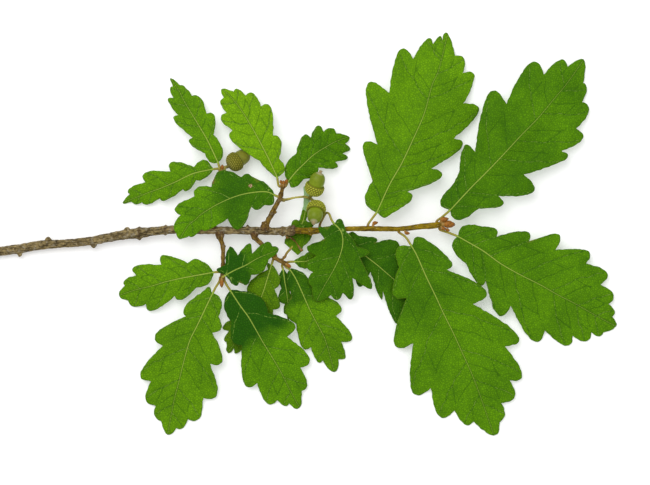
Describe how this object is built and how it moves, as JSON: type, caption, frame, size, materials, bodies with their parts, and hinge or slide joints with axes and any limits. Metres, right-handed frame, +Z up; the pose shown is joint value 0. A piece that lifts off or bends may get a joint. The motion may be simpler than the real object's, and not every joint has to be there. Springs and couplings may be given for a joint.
{
  "type": "fallen_oak_branch",
  "caption": "Fallen oak branch lying flat: old wood, a leading shoot, side twigs, lobed green leaves, green acorns in scaly cups and winter buds",
  "frame": {"origin": "bottom centre of the bounding box, on the surface the branch lies on", "axes": "+X from the cut end of the old wood towards the shoot's tip, +Y across the branch, +Z up"},
  "size_m": [0.3454, 0.2176, 0.0158],
  "materials": {
    "old_bark": "rough grey-brown bark",
    "twig_bark": "matt brown bark of thin twigs",
    "shoot_bark": "smooth olive-brown bark of this year's shoot",
    "acorn_stalk": "smooth olive stalk",
    "bud_scale": "satin reddish-brown bud scales",
    "leaf": "waxy green upper side, dull pale underside",
    "acorn_cup": "matt, covered with small scales",
    "acorn_nut": "smooth and slightly glossy"
  },
  "bodies": {
    "root": {"main_branch": "old_bark", "leading_shoot": "shoot_bark", "upper_twig": "twig_bark", "upper_left_twig": "twig_bark", "lower_left_twig": "twig_bark", "lower_right_twig": "twig_bark", "acorn_stalk_1": "acorn_stalk", "acorn_stalk_2": "acorn_stalk", "bare_stalk": "twig_bark", "terminal_bud_1": "bud_scale", "terminal_bud_2": "bud_scale", "terminal_bud_3": "bud_scale", "terminal_bud_4": "bud_scale", "shoot_bud_upper": "bud_scale", "shoot_bud_lower": "bud_scale", "upper_twig_bud_1": "bud_scale", "upper_twig_bud_2": "bud_scale", "upper_twig_bud_3": "bud_scale", "upper_left_twig_bud": "bud_scale", "lower_left_twig_bud": "bud_scale", "lower_right_twig_bud": "bud_scale", "shoot_leaf_1": "leaf", "shoot_leaf_2": "leaf", "shoot_leaf_3": "leaf", "shoot_leaf_4": "leaf", "shoot_leaf_5": "leaf", "shoot_leaf_6": "leaf", "upper_twig_leaf_1": "leaf", "upper_twig_leaf_2": "leaf", "upper_twig_leaf_3": "leaf", "upper_left_twig_leaf_1": "leaf", "upper_left_twig_leaf_2": "leaf", "lower_left_twig_leaf_1": "leaf", "lower_left_twig_leaf_2": "leaf", "lower_left_twig_leaf_3": "leaf", "lower_left_twig_leaf_4": "leaf", "lower_right_twig_leaf_1": "leaf", "lower_right_twig_leaf_2": "leaf", "lower_right_twig_leaf_3": "leaf", "lower_right_twig_leaf_4": "leaf", "lower_right_twig_leaf_5": "leaf", "acorn_cup_1": "acorn_cup", "acorn_nut_1": "acorn_nut", "acorn_cup_2": "acorn_cup", "acorn_nut_2": "acorn_nut", "acorn_cup_3": "acorn_cup", "acorn_nut_3": "acorn_nut"}
  },
  "joints": []
}
